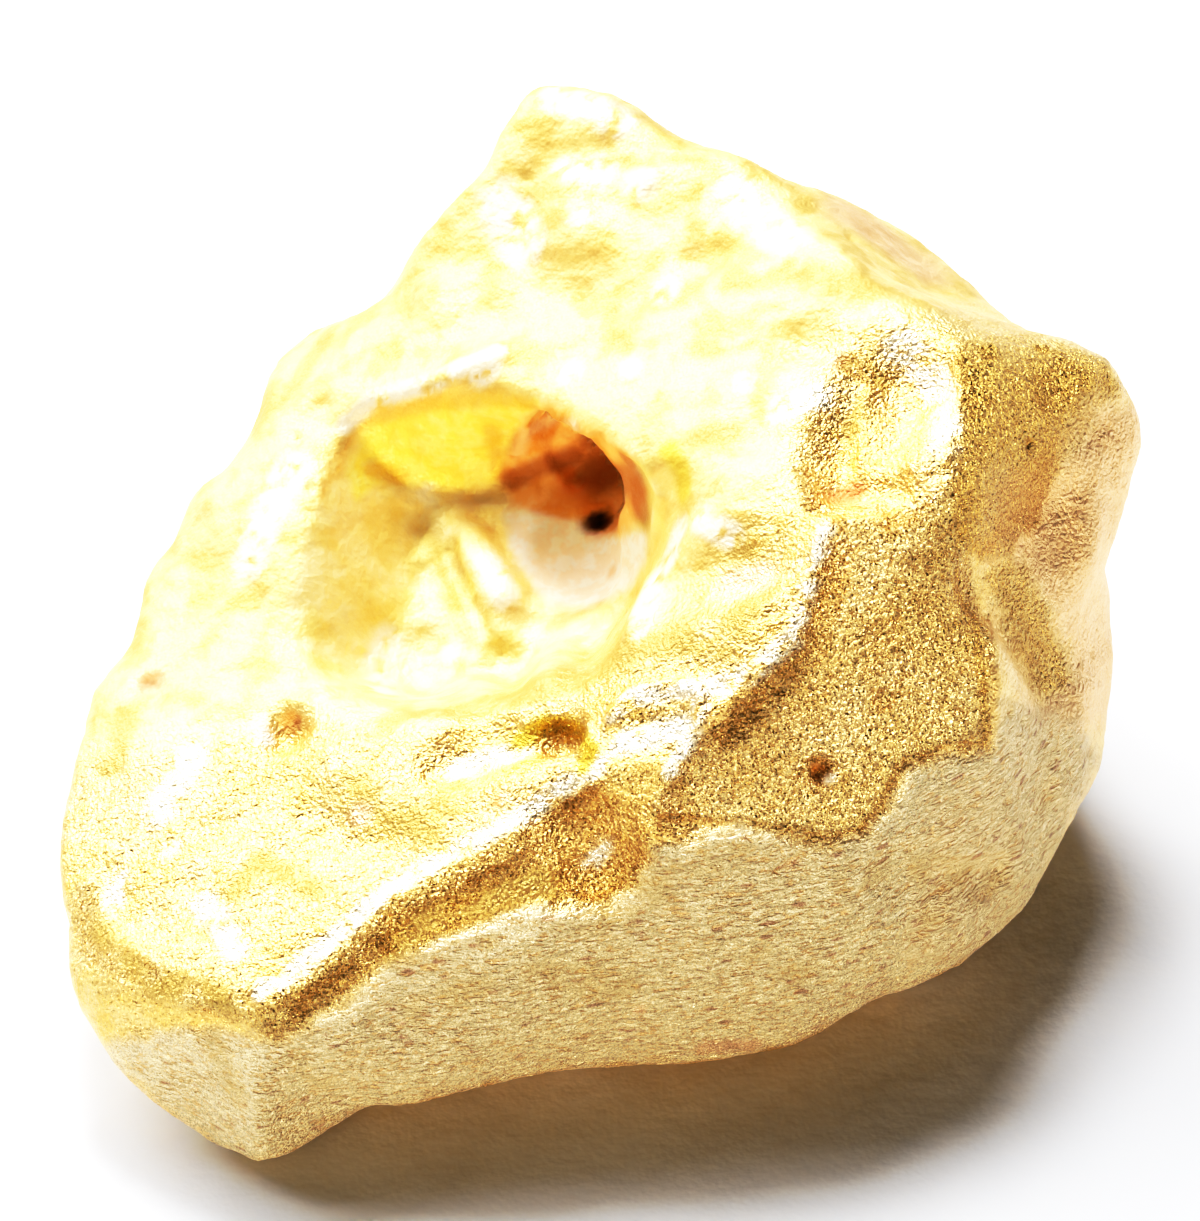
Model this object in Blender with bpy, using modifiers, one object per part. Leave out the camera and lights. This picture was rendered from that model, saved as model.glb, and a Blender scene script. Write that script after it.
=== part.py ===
"""A natural gold nugget, about 22 mm across, resting on a flat worn under its base.

All sizes here are millimetres: +Z is up, the ground is z = 0, and the front, which shows the large
pit, faces -Y. The build has five steps: a cage of corners, a smooth lump through them, the hollows and
lumps of its surface, the flat it rests on, and a move that centres its box over the origin.

The marks of the surface are placed on a drawing of the nugget. The drawing's middle is DRAWING_MIDDLE
and it is drawn from EYE, above the front, so a mark at (across, up) lies where that line meets the lump.
"""

import bmesh
import bpy
import numpy as np
from mathutils import Matrix, Vector, noise
from mathutils.bvhtree import BVHTree

MM = 0.001
GOLD = (0.90, 0.62, 0.22, 1.0)

# The corners' neighbours are found by direction from this point inside the nugget.
HEART = (0.0, -0.5, 5.5)
FITTING_ROUNDS = 4
CAGE_LEVELS = 3
CREST_CREASE = 1.0
FACET_CREASE = 0.8

DRAWING_MIDDLE = (0.0, -0.5, 6.0)
EYE = (0.0, -283.3, 288.8)

VOXEL = 0.24
SMOOTHING_ROUNDS = 2
SMOOTHING_SHARE = 0.5
TRIANGLES = 9400

# The worn crest between the sloping top and the front, from the low front corner to the right shoulder.
FRONT_CREST = [
    (-7.2, -10.0, 4.3),
    (-5.8, -9.7, 4.95),
    (-4.0, -8.7, 5.95),
    (-2.4, -8.1, 6.75),
    (-1.1, -7.8, 7.35),
    (0.4, -7.2, 8.0),
    (1.8, -6.8, 8.75),
    (2.9, -6.1, 9.4),
    (4.0, -4.75, 10.25),
    (4.5, -3.4, 11.2),
    (6.0, -3.2, 11.3),
    (7.2, -2.3, 11.6),
]
# The crest goes on round the right shoulder and up to the peak at the back.
BACK_CREST = [
    (7.3, -0.9, 12.2),
    (6.7, 0.7, 12.3),
    (5.6, 1.6, 12.3),
    (5.4, 3.0, 12.1),
    (3.6, 5.2, 12.0),
    (1.4, 7.1, 11.8),
    (-0.9, 8.6, 11.9),
]
# How much of the crest behind the shoulder is sharp.
SHARP_BACK_CREST = 4
# The foot and the right edge of the rough facet that faces up and forward, right of the crest.
FACET_EDGE = [
    (1.8, -7.6, 7.7),
    (3.6, -7.8, 7.1),
    (5.3, -7.5, 6.9),
    (6.1, -6.4, 7.5),
    (7.8, -5.2, 7.7),
    (7.8, -3.9, 9.1),
    (7.4, -3.1, 10.1),
]
# Corners on the facet that keep it nearly flat.
FACET_MIDDLE = [
    (5.6, -5.3, 8.9),
    (3.7, -6.4, 8.4),
]
# The left side of the sloping top, from the peak down to the low front corner.
LEFT_SHOULDER = [
    (-1.8, 8.2, 11.0),
    (-2.5, 7.0, 10.3),
    (-3.9, 5.5, 9.3),
    (-5.4, 4.1, 8.2),
    (-7.1, 2.9, 7.2),
    (-7.9, 0.8, 6.1),
    (-9.2, -0.9, 5.3),
    (-10.4, -2.9, 4.4),
    (-10.7, -5.6, 3.5),
    (-10.4, -7.3, 3.6),
    (-9.0, -8.9, 3.9),
]
# Where the front and the right side turn under, seen as the lower outline.
LOWER_EDGE = [
    (-10.3, -7.0, 2.6),
    (-9.9, -8.0, 1.9),
    (-9.2, -9.1, 1.3),
    (-8.1, -9.8, 0.8),
    (-7.1, -10.3, 0.4),
    (-6.5, -10.4, 0.35),
    (-5.6, -9.9, 0.75),
    (-4.5, -9.4, 1.05),
    (-3.0, -9.2, 1.1),
    (-0.8, -8.7, 1.2),
    (1.0, -8.5, 1.3),
    (2.8, -8.4, 1.4),
    (5.4, -7.2, 1.7),
    (6.8, -6.6, 1.9),
    (8.1, -5.6, 2.1),
    (8.9, -4.2, 2.4),
    (9.5, -3.0, 2.8),
    (10.2, -1.7, 3.5),
]
# The lower edge of the rough band under the crest, from the low front corner to the scoop.
BAND_EDGE = [
    (-6.6, -10.7, 3.2),
    (-5.2, -10.3, 4.0),
    (-3.7, -9.6, 4.8),
    (-2.2, -9.3, 5.4),
    (-0.8, -9.0, 5.8),
    (0.5, -8.5, 6.5),
]
# The front face under the band and the facet.
FRONT_FACE = [
    (0.5, -9.0, 3.8),
    (4.2, -8.3, 4.2),
    (-3.4, -9.9, 2.9),
]
# The right side: the knob beside the shoulder and the fluted wall under it.
RIGHT_SIDE = [
    (8.0, -0.1, 11.95),
    (8.1, -1.8, 10.7),
    (9.2, 0.3, 10.7),
    (10.0, 1.2, 10.3),
    (8.0, 1.2, 11.8),
    (9.8, 1.8, 10.9),
    (8.8, -0.8, 9.3),
    (9.2, -1.7, 7.4),
    (8.7, -3.0, 6.9),
    (8.9, -3.6, 5.6),
    (8.0, -5.5, 5.2),
    (6.8, -6.9, 4.4),
    (10.3, 0.0, 5.3),
    (10.2, 0.4, 6.6),
    (10.6, 0.9, 8.2),
    (10.8, 1.5, 8.9),
    (10.3, 2.3, 9.7),
]
# The back, which falls away from the crest.
BACK = [
    (3.4, 6.9, 10.9),
    (5.6, 6.4, 10.3),
    (6.9, 5.5, 10.1),
    (6.8, 4.2, 10.5),
    (8.1, 3.5, 10.3),
    (9.6, 3.2, 8.0),
    (9.2, 4.0, 5.0),
    (7.0, 6.8, 6.5),
    (3.6, 8.9, 7.0),
    (0.0, 9.9, 7.6),
    (-2.4, 8.3, 6.4),
    (-5.0, 6.2, 4.9),
    (-7.3, 2.4, 3.7),
    (-9.1, -1.0, 2.7),
    (-10.2, -4.2, 2.2),
    (0.6, 9.0, 3.4),
    (-4.0, 6.8, 2.2),
    (5.0, 7.6, 3.0),
    (8.6, 4.2, 2.2),
    (9.2, 0.4, 2.0),
]
# The base, set back under the outline. It dips below the ground, which cuts the flat.
BASE = [
    (-7.0, 0.8, 0.9),
    (-8.2, -3.6, 0.7),
    (-6.8, -7.6, 0.4),
    (-3.2, -6.6, 0.2),
    (2.4, -6.3, 0.3),
    (6.6, -3.8, 0.4),
    (6.8, 1.6, 0.3),
    (3.4, 5.4, 0.4),
    (-3.0, 4.4, 0.4),
    (-5.4, -1.2, 0.1),
    (-2.6, -3.4, -0.45),
    (3.0, -2.8, -0.45),
    (2.6, 2.4, -0.45),
    (-1.8, 1.6, -0.4),
]

# The large pit in the sloping top: its rim on the drawing.
PIT_RIM = [
    (-5.35, 2.8),
    (-4.9, 3.6),
    (-4.4, 3.9),
    (-3.4, 3.9),
    (-2.5, 4.2),
    (-1.5, 4.2),
    (-0.7, 3.95),
    (0.1, 3.5),
    (0.8, 2.9),
    (1.05, 2.2),
    (0.9, 1.4),
    (0.55, 0.5),
    (0.1, -0.3),
    (-0.8, -0.95),
    (-1.9, -1.5),
    (-3.0, -1.95),
    (-4.2, -2.2),
    (-5.3, -1.9),
    (-6.1, -1.1),
    (-6.3, -0.1),
    (-5.95, 1.0),
    (-5.75, 1.9),
]
PIT_MIDDLE = (-2.4, 1.5)
PIT_AXIS = (-0.22, -0.42, 0.88)
PIT_DEPTH = 2.6
# The wall's share of the way from the rim to the middle, by its direction in degrees from the drawing's
# across direction.
PIT_WALLS = {0: 0.20, 90: 0.30, 140: 0.38, 180: 0.55, 215: 0.45, 270: 0.22}
# The direction of the far side, where the wall starts most abruptly.
PIT_FAR_TURN = 100
# A face belongs to the sloping top when it looks along the pit's axis at least this much.
TOP_FACING = 0.25

# Deeper pockets cut with balls: the place on the drawing, how deep the middle lies under the surface
# there, and the half lengths along X, Y and Z.
POCKETS = {
    "stained_pocket": ((-0.25, 2.95), 0.3, (1.45, 1.35, 1.25)),
    "pink_floor": ((-0.6, 1.05), -0.35, (1.35, 1.35, 1.05)),
    "dark_hole": ((0.1, 1.95), 0.2, (0.5, 0.5, 0.7)),
    "round_hole": ((-6.3, -2.35), 0.05, (0.5, 0.55, 0.6)),
    "trough_hole": ((-0.9, -2.45), 0.0, (0.55, 0.45, 0.5)),
}

# Hollows and lumps marked on the drawing: the path each follows, its radius and its height, which is
# negative for a hollow, and the share of the radius that its floor takes.
MARKED = {
    "pit_lip": ([(-5.0, 4.3), (-3.3, 4.5), (-1.9, 5.2)], 0.7, 0.20, 0.1),
    "pit_wedge": ([(-2.9, 1.6), (-2.0, -0.6)], 0.9, 0.45, 0.0),
    "pit_knuckle": ([(-4.2, 2.2), (-3.2, 2.1)], 0.6, 0.25, 0.0),
    "pit_side_step": ([(1.6, 2.6)], 0.6, -0.15, 0.0),
    "scoop_in_the_crest": ([(-0.5, -4.3), (0.0, -5.2)], 1.3, -0.55, 0.15),
    "scoop_edge": ([(1.2, -3.3), (1.0, -5.0)], 0.6, 0.22, 0.0),
    "trough_behind_the_crest": ([(-2.9, -2.9), (-0.8, -2.6)], 0.95, -0.35, 0.2),
    "crest_fold": ([(0.4, -1.9), (1.9, -1.7)], 0.55, 0.22, 0.0),
    "shoulder_dish": ([(5.2, 3.4), (6.0, 4.6)], 1.6, -0.60, 0.2),
    "shoulder_pit": ([(4.8, 2.3), (6.0, 2.3)], 0.85, -0.40, 0.1),
    "shoulder_ridge": ([(5.4, 4.8), (5.3, 3.0)], 0.5, 0.20, 0.0),
    "left_dish": ([(3.0, 3.6)], 1.1, -0.25, 0.1),
    "triangle_dish": ([(1.4, 0.7), (3.0, 0.9)], 1.3, -0.35, 0.1),
    "back_dimple": ([(4.2, 5.4)], 0.9, -0.30, 0.1),
    "facet_pit": ([(4.4, -3.2)], 0.4, -0.30, 0.0),
    "side_valley": ([(7.8, 0.4), (9.3, -1.6)], 1.0, -0.60, 0.0),
    "side_fold": ([(9.9, 3.6), (9.2, 1.4)], 0.9, -0.15, 0.0),
    "low_groove": ([(5.8, -5.3), (8.0, -5.1)], 1.0, -0.28, 0.0),
    "peak_bump": ([(-0.3, 10.0), (0.3, 10.0)], 1.2, 0.30, 0.0),
    "peak_groove": ([(-1.0, 9.1), (1.0, 9.2)], 0.7, -0.25, 0.0),
    "peak_lobe": ([(-0.6, 8.6), (-0.5, 7.6)], 0.8, 0.30, 0.0),
    "peak_hollow": ([(2.0, 7.2)], 1.0, -0.35, 0.0),
    "upper_hollow": ([(-0.9, 6.6), (0.6, 6.3)], 0.9, -0.25, 0.0),
    "upper_lump": ([(-3.2, 6.2)], 0.9, 0.25, 0.0),
    "left_dimple": ([(-8.9, -1.5)], 0.6, -0.22, 0.0),
    "low_left_dish": ([(-5.6, -4.2), (-4.4, -4.6)], 1.1, -0.22, 0.0),
    "foot_pinch": ([(-6.2, -8.9), (-7.8, -8.4)], 0.8, -0.25, 0.0),
}
# Hollows and lumps of the sides that face away, in the nugget's frame.
BEHIND = {
    "back_hollow": ([(4.0, 8.3, 8.4), (6.2, 7.0, 7.6)], 1.9, -0.65, 0.0),
    "back_lump": ([(1.4, 9.6, 5.2)], 1.8, 0.50, 0.0),
    "back_pit": ([(-2.8, 8.0, 5.4)], 1.0, -0.60, 0.2),
    "back_pinhole": ([(2.2, 9.2, 7.8)], 0.6, -0.45, 0.2),
    "back_groove": ([(2.4, 8.6, 3.2), (5.6, 7.2, 4.4), (7.8, 5.4, 6.4)], 0.8, -0.35, 0.0),
    "back_knob": ([(-1.0, 9.4, 4.0)], 1.0, 0.35, 0.0),
    "left_pit": ([(-8.6, -0.2, 3.6)], 0.8, -0.40, 0.2),
    "under_hollow": ([(-6.4, -4.2, 0.4), (-5.6, -6.8, 0.4)], 1.4, -0.45, 0.0),
    "under_groove": ([(6.4, -4.4, 0.4), (8.2, -1.0, 1.2)], 1.2, -0.40, 0.0),
    "left_hollow": ([(-6.8, 4.0, 4.6), (-5.0, 5.8, 5.8)], 1.6, -0.55, 0.0),
    "left_ridge": ([(-8.8, -0.6, 1.8), (-6.0, 4.0, 2.0)], 1.0, 0.25, 0.0),
    "right_hollow": ([(9.4, 3.4, 6.4), (9.2, 3.0, 3.6)], 1.5, -0.55, 0.0),
}
UNDULATION = 0.20
UNDULATION_SPAN = 2.4


def all_corners():
    """Every corner of the cage."""
    groups = (
        FRONT_CREST,
        BACK_CREST,
        FACET_EDGE,
        FACET_MIDDLE,
        BAND_EDGE,
        LEFT_SHOULDER,
        LOWER_EDGE,
        FRONT_FACE,
        RIGHT_SIDE,
        BACK,
        BASE,
    )
    return [corner for group in groups for corner in group]


def clear_scene():
    for thing in list(bpy.data.objects):
        bpy.data.objects.remove(thing)


def object_from(mesh, name, collection):
    thing = bpy.data.objects.new(name, mesh)
    collection.objects.link(thing)
    return thing


def hull_of_directions(corners):
    """A closed cage of triangles through the corners, each joined to its neighbours as seen from the heart."""
    heart = Vector(HEART)
    cage = bmesh.new()
    for corner in corners:
        cage.verts.new((Vector(corner) - heart).normalized())
    cage.verts.ensure_lookup_table()
    bmesh.ops.convex_hull(cage, input=cage.verts)
    for vert, corner in zip(cage.verts, corners, strict=True):
        vert.co = corner
    bmesh.ops.recalc_face_normals(cage, faces=cage.faces)
    return cage


def crease_edges(cage, corners, path, amount):
    """Keeps a worn edge narrower than the rest of the lump."""
    crease = cage.edges.layers.float["crease_edge"]
    indices = [corners.index(corner) for corner in path]
    for start, end in zip(indices, indices[1:], strict=False):
        edge = cage.edges.get((cage.verts[start], cage.verts[end]))
        if edge:
            edge[crease] = amount


def applied_mesh(thing):
    """The object's mesh with its modifiers applied. The modifiers are then taken off."""
    graph = bpy.context.evaluated_depsgraph_get()
    mesh = bpy.data.meshes.new_from_object(thing.evaluated_get(graph))
    thing.modifiers.clear()
    return mesh


def points_of(mesh):
    points = np.empty(len(mesh.vertices) * 3, np.float32)
    mesh.vertices.foreach_get("co", points)
    return points.reshape(-1, 3).astype(float)


def normals_of(mesh):
    normals = np.empty(len(mesh.vertices) * 3, np.float32)
    mesh.vertex_normals.foreach_get("vector", normals)
    return normals.reshape(-1, 3).astype(float)


def move_points(mesh, points):
    mesh.vertices.foreach_set("co", points.astype(np.float32).ravel())
    mesh.update()


def add_subdivision(thing, levels):
    subdivision = thing.modifiers.new("smooth_lump", "SUBSURF")
    subdivision.levels = levels
    subdivision.render_levels = levels


def smooth_lump(collection):
    """A smooth closed lump whose surface passes through every corner of the cage."""
    corners = all_corners()
    cage = hull_of_directions(corners)
    cage.edges.layers.float.new("crease_edge")
    cage.verts.ensure_lookup_table()
    crease_edges(cage, corners, FRONT_CREST, CREST_CREASE)
    crease_edges(cage, corners, BACK_CREST[:SHARP_BACK_CREST], CREST_CREASE)
    crease_edges(cage, corners, FACET_EDGE, FACET_CREASE)
    crease_edges(cage, corners, BAND_EDGE, FACET_CREASE)
    mesh = bpy.data.meshes.new("gold_nugget")
    cage.to_mesh(mesh)
    cage.free()
    lump = object_from(mesh, "gold_nugget", collection)
    wanted = np.array(corners, float)
    for _ in range(FITTING_ROUNDS):
        add_subdivision(lump, CAGE_LEVELS)
        # A subdivided mesh lists the cage's own corners first.
        reached = points_of(applied_mesh(lump))[: len(wanted)]
        move_points(mesh, points_of(mesh) + wanted - reached)
    add_subdivision(lump, CAGE_LEVELS)
    lump.data = applied_mesh(lump)
    return lump


def remesh(thing):
    """Gives the whole surface small faces of one size."""
    even = thing.modifiers.new("even_faces", "REMESH")
    even.mode = "VOXEL"
    even.voxel_size = VOXEL
    thing.data = applied_mesh(thing)


def drawing_axes():
    """The drawing's middle, its directions across and up, and the direction towards the eye."""
    middle = Vector(DRAWING_MIDDLE)
    towards = (Vector(EYE) - middle).normalized()
    across = Vector((0, 0, 1)).cross(towards).normalized()
    return middle, across, towards.cross(across), towards


def drawn(points):
    """Where each point lies on the drawing, as (across, up)."""
    middle, across, up, towards = (np.array(vector) for vector in drawing_axes())
    eye = np.array(EYE)
    sight = points - eye
    scale = (middle - eye) @ towards / (sight @ towards)
    place = eye + sight * scale[:, None] - middle
    return np.stack([place @ across, place @ up], axis=1)


def surface_tree(thing):
    return BVHTree.FromObject(thing, bpy.context.evaluated_depsgraph_get())


def marked_points(tree, marks):
    """The points of the surface that show at marks of the drawing, with the surface's directions there."""
    middle, across, up, _ = drawing_axes()
    eye = Vector(EYE)
    found = []
    for mark in marks:
        sight = middle + across * mark[0] + up * mark[1] - eye
        place, normal, _, _ = tree.ray_cast(eye, sight.normalized())
        found.append((place, normal))
    return found


def smooth_step(share):
    share = np.clip(share, 0, 1)
    return share * share * (3 - 2 * share)


def sink_pit(nugget):
    """Sinks the large pit: steep walls all round except on its left, where a long slope leads down."""
    mesh = nugget.data
    points = points_of(mesh)
    axis = np.array(Vector(PIT_AXIS).normalized())
    spokes = drawn(points) - np.array(PIT_MIDDLE)
    rim = np.array(PIT_RIM) - np.array(PIT_MIDDLE)
    rim_turn = np.arctan2(rim[:, 1], rim[:, 0])
    order = np.argsort(rim_turn)
    turn = np.arctan2(spokes[:, 1], spokes[:, 0])
    reach = np.interp(turn, rim_turn[order], np.hypot(*rim[order].T), period=2 * np.pi)
    inside = 1 - np.hypot(*spokes.T) / reach
    far = smooth_step(0.5 + 0.5 * np.cos(turn - np.radians(PIT_FAR_TURN)))
    wall = np.interp(np.degrees(turn), list(PIT_WALLS), list(PIT_WALLS.values()), period=360)
    share = np.clip(inside / wall, 0, 1)
    crisp = share * (2 - share)
    depth = PIT_DEPTH * (far * crisp + (1 - far) * smooth_step(share))
    on_top = normals_of(mesh) @ axis > TOP_FACING
    move_points(mesh, points - axis * (depth * on_top)[:, None])


def pocket_cutter(name, centre, half_lengths, collection):
    ball = bmesh.new()
    shape = Matrix.Translation(centre) @ Matrix.Diagonal((*half_lengths, 1.0))
    bmesh.ops.create_icosphere(ball, subdivisions=3, radius=1.0, matrix=shape)
    mesh = bpy.data.meshes.new(name)
    ball.to_mesh(mesh)
    ball.free()
    return object_from(mesh, name, collection)


def cut(thing, cutter):
    difference = thing.modifiers.new(cutter.name, "BOOLEAN")
    difference.operation = "DIFFERENCE"
    difference.solver = "EXACT"
    difference.object = cutter
    thing.data = applied_mesh(thing)
    cutter.hide_render = True
    cutter.display_type = "WIRE"


def cut_pockets(nugget, collection):
    """Cuts the small deep pockets, each measured from the surface as the one before left it."""
    for name, (mark, depth, half_lengths) in POCKETS.items():
        place, normal = marked_points(surface_tree(nugget), [mark])[0]
        cut(nugget, pocket_cutter(name, place - normal * depth, half_lengths, collection))


def distance_to_path(points, path):
    """How far each point is from a path of one or more corners."""
    path = [np.array(corner, float) for corner in path]
    nearest = np.linalg.norm(points - path[0], axis=1)
    for start, end in zip(path, path[1:], strict=False):
        run = end - start
        share = np.clip((points - start) @ run / (run @ run), 0, 1)
        reach = np.linalg.norm(points - start - share[:, None] * run, axis=1)
        nearest = np.minimum(nearest, reach)
    return nearest


def relief(points, normals, path, radius, height, floor_share):
    """How far each point moves to raise the surface round a path, along the surface's mean direction there."""
    reach = distance_to_path(points, path) / radius
    weight = smooth_step((1 - reach) / (1 - floor_share))
    direction = (normals * weight[:, None]).sum(axis=0)
    direction /= np.linalg.norm(direction)
    return height * weight[:, None] * direction


def undulation(points, normals):
    """Slow uneven swells, so that no stretch of the surface is flat."""
    heights = [noise.noise(Vector(point) / UNDULATION_SPAN) for point in points]
    return UNDULATION * np.array(heights)[:, None] * normals


def carve_surface(nugget):
    """Raises and sinks every marked lump and hollow, and adds the swells."""
    mesh = nugget.data
    points = points_of(mesh)
    normals = normals_of(mesh)
    tree = surface_tree(nugget)
    shift = undulation(points, normals)
    for marks, radius, height, floor_share in MARKED.values():
        path = [place for place, _ in marked_points(tree, marks)]
        shift += relief(points, normals, path, radius, height, floor_share)
    for places, radius, height, floor_share in BEHIND.values():
        path = [tree.find_nearest(place)[0] for place in places]
        shift += relief(points, normals, path, radius, height, floor_share)
    move_points(mesh, points + shift)


def wear_and_thin(nugget):
    """Rounds what is left sharp, then thins the mesh where it is flattest."""
    worn = nugget.modifiers.new("worn", "SMOOTH")
    worn.factor = SMOOTHING_SHARE
    worn.iterations = SMOOTHING_ROUNDS
    nugget.data = applied_mesh(nugget)
    nugget.data.calc_loop_triangles()
    thinned = nugget.modifiers.new("thinned", "DECIMATE")
    thinned.ratio = TRIANGLES / len(nugget.data.loop_triangles)
    nugget.data = applied_mesh(nugget)


def centre_over_origin(nugget):
    """Moves the nugget so that the middle of its box stands over the origin."""
    points = points_of(nugget.data)
    middle = (points.min(axis=0) + points.max(axis=0)) / 2
    nugget.data.transform(Matrix.Translation((-middle[0], -middle[1], 0)))


def cut_resting_flat(nugget):
    """Cuts the base off level with the ground, which leaves the flat that the nugget rests on."""
    solid = bmesh.new()
    solid.from_mesh(nugget.data)
    everything = solid.verts[:] + solid.edges[:] + solid.faces[:]
    bmesh.ops.bisect_plane(solid, geom=everything, plane_co=(0, 0, 0), plane_no=(0, 0, -1), clear_outer=True)
    rim = [edge for edge in solid.edges if edge.is_boundary]
    bmesh.ops.holes_fill(solid, edges=rim)
    bmesh.ops.recalc_face_normals(solid, faces=solid.faces)
    solid.to_mesh(nugget.data)
    solid.free()


def gold():
    material = bpy.data.materials.new("native_gold")
    material.use_nodes = True
    shader = material.node_tree.nodes["Principled BSDF"]
    shader.inputs["Base Color"].default_value = GOLD
    shader.inputs["Metallic"].default_value = 1.0
    shader.inputs["Roughness"].default_value = 0.35
    return material


def main():
    clear_scene()
    scene = bpy.context.scene
    shapes = bpy.data.collections.new("gold_nugget")
    cutters = bpy.data.collections.new("cutters")
    scene.collection.children.link(shapes)
    scene.collection.children.link(cutters)

    nugget = smooth_lump(shapes)
    sink_pit(nugget)
    remesh(nugget)
    cut_pockets(nugget, cutters)
    remesh(nugget)
    carve_surface(nugget)
    wear_and_thin(nugget)
    cut_resting_flat(nugget)
    centre_over_origin(nugget)

    for thing in bpy.data.objects:
        thing.data.transform(Matrix.Scale(MM, 4))
    nugget.data.materials.clear()
    nugget.data.materials.append(gold())
    nugget.data.shade_smooth()


main()
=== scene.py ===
"""A natural gold nugget on white paper.

The nugget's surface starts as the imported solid's own shape, remeshed finely. It then gets the crisp crest
and rims, the dents, the sandy grain, the fine lines and the stains that the solid leaves out. Marks are
placed by pixels of the photograph, on the surface that shows there. Sizes are millimetres, and the mesh is
scaled to metres at the end.
"""

# Some colours are painted light and shade: highlights on the crest, rims and lumps; shade in the grain's low
# parts, in the hole, under the pit's rim and on some edges and patches; light thrown about inside the pit;
# and a paler front and right side.
import math

import bmesh
import bpy
import numpy as np
from mathutils import Matrix, Vector, noise
from mathutils.bvhtree import BVHTree


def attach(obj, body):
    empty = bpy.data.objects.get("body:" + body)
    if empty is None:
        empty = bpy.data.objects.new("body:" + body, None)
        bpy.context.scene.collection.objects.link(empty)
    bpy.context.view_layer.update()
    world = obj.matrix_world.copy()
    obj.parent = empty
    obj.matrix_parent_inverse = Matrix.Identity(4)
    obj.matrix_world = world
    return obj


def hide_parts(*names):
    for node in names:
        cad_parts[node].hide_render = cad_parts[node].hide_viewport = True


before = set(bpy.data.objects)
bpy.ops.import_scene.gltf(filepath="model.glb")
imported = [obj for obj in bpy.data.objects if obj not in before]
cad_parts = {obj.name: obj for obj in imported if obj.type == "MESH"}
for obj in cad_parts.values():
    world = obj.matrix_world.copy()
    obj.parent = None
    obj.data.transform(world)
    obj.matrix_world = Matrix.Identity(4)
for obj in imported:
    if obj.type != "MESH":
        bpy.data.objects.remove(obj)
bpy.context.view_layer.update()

MM = 0.001
SEED = 11
UP = Vector((0, 0, 1))

# The drawing that marks are placed on: its middle, and the eye 45 degrees above the front that sees it.
DRAWING_MIDDLE = Vector((-0.03, -0.24, 6.0))
EYE_DISTANCE = 400
EYE = DRAWING_MIDDLE + Vector((0, -math.sqrt(0.5), math.sqrt(0.5))) * EYE_DISTANCE
# The drawing has the photograph's size, with 50 pixels a millimetre around its middle pixel.
PIXELS_PER_MM = 50.0
MIDDLE_PIXEL = (600.0, 610.5)
PICTURE_HEIGHT = 1221

# The surface's mesh: the width of a face, and how close two corners of the solid are when they are welded.
FACE_WIDTH = 0.125
WELD = 0.001
# Swells over the whole surface: height, width and the noise's offset.
SWELLS = [(0.045, 1.3, 3.0), (0.022, 0.4, 9.0)]
# Dents and lumps scattered over the whole surface: how many, their radii, and their depths.
DENTS = [(160, (0.25, 0.8), (-0.04, 0.09)), (60, (0.15, 0.3), (0.05, 0.12))]
# How far behind the side that shows a point may lie and still take the drawing's marks.
SEEN_DEPTH = 1.2
# The ragged edges of areas: how far they wander, and the width and offsets of the noise that bends them.
RAGGED_REACH = 0.16
RAGGED_WIDTH = 0.5
RAGGED_OFFSETS = (20.0, 40.0)

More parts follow.
